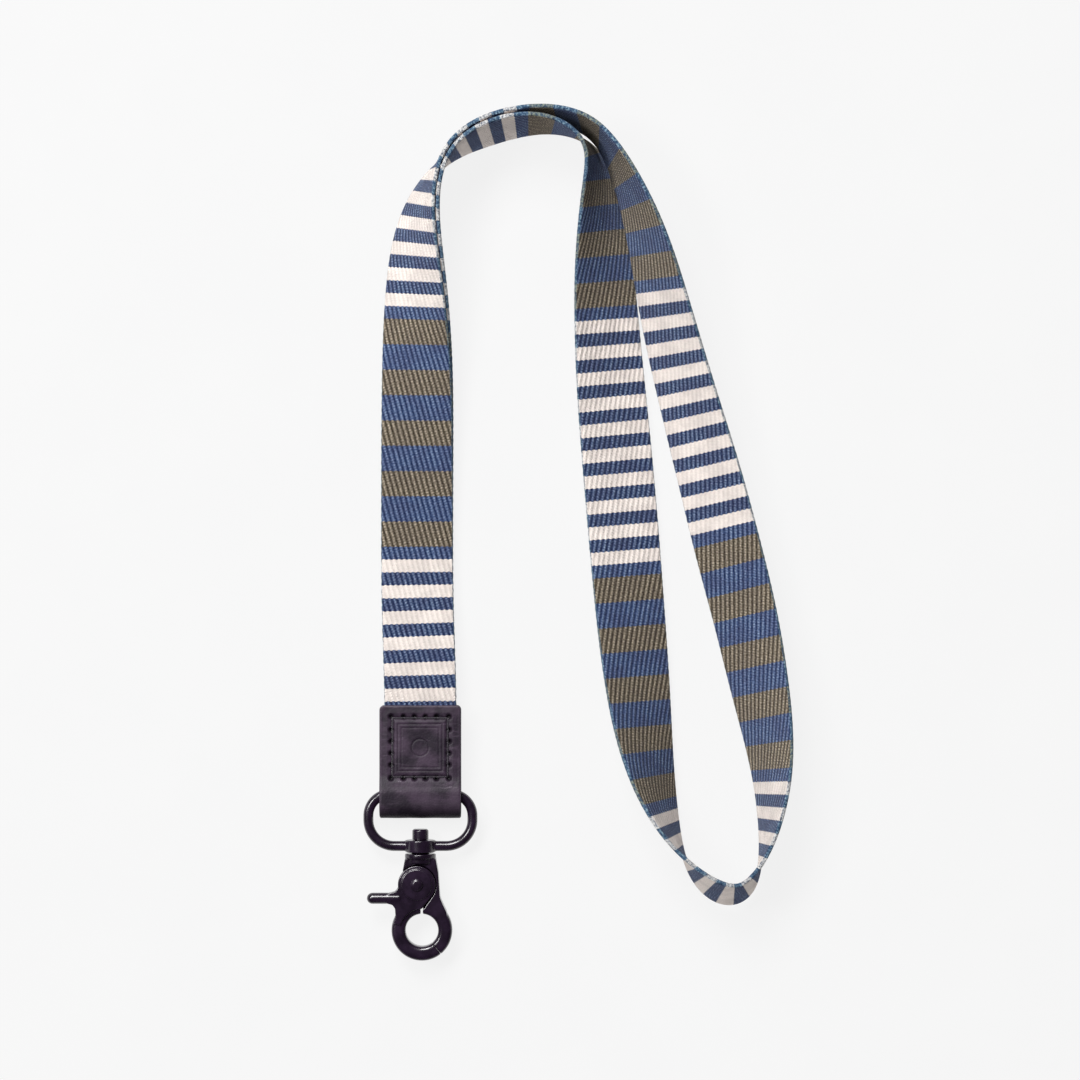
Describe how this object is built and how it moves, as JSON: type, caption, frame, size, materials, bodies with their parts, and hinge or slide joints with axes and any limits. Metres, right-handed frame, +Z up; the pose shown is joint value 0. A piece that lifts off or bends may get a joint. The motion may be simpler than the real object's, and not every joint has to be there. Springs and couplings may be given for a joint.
{
  "type": "lanyard",
  "caption": "Neck lanyard: striped flat webbing loop sewn into a folded leather tab, with an oval swivel ring and a sprung trigger snap hook for keys or a badge.",
  "frame": {"origin": "bottom centre of the bounding box of the lanyard as it lies on a table", "axes": "+Z up from the table, +Y from the hook along the straight double leg towards the far end of the loop, +X towards the side where the loop opens out"},
  "size_m": [0.1184, 0.2352, 0.025],
  "materials": {
    "webbing": "ribbed woven webbing with cream, navy, blue and olive stripes across it",
    "leather": "near-black smooth leather, semi-matt, debossed",
    "thread": "waxed black thread",
    "black_metal": "glossy black plated zinc",
    "spring_steel": "bright spring wire"
  },
  "bodies": {
    "loop": {"strap": "webbing", "leather_tab": "leather", "needle_thread": "thread", "bobbin_thread": "thread"},
    "ring": {"swivel_ring": "black_metal"},
    "hook": {"swivel_post": "black_metal", "hook_body": "black_metal", "pivot_rivet": "black_metal", "return_spring": "spring_steel"},
    "trigger": {"trigger_jaw": "black_metal"}
  },
  "joints": [
    {"name": "ring_swing", "type": "hinge", "parent": "loop", "child": "ring", "pos_m": [-0.0434, -0.07159, 0.0043], "axis": [-1, 0, 0], "range_deg": [-125, 125]},
    {"name": "hook_swivel", "type": "hinge", "parent": "ring", "child": "hook", "pos_m": [-0.0434, -0.08599, 0.0043], "axis": [0, 1, 0], "continuous": true},
    {"name": "trigger_open", "type": "hinge", "parent": "hook", "child": "trigger", "pos_m": [-0.04435, -0.09649, 0.0043], "axis": [0, 0, -1], "range_deg": [0, 22], "stiffness_Nm_per_rad": 0.012, "springref_deg": -28.65, "deforming": ["return_spring"]}
  ]
}
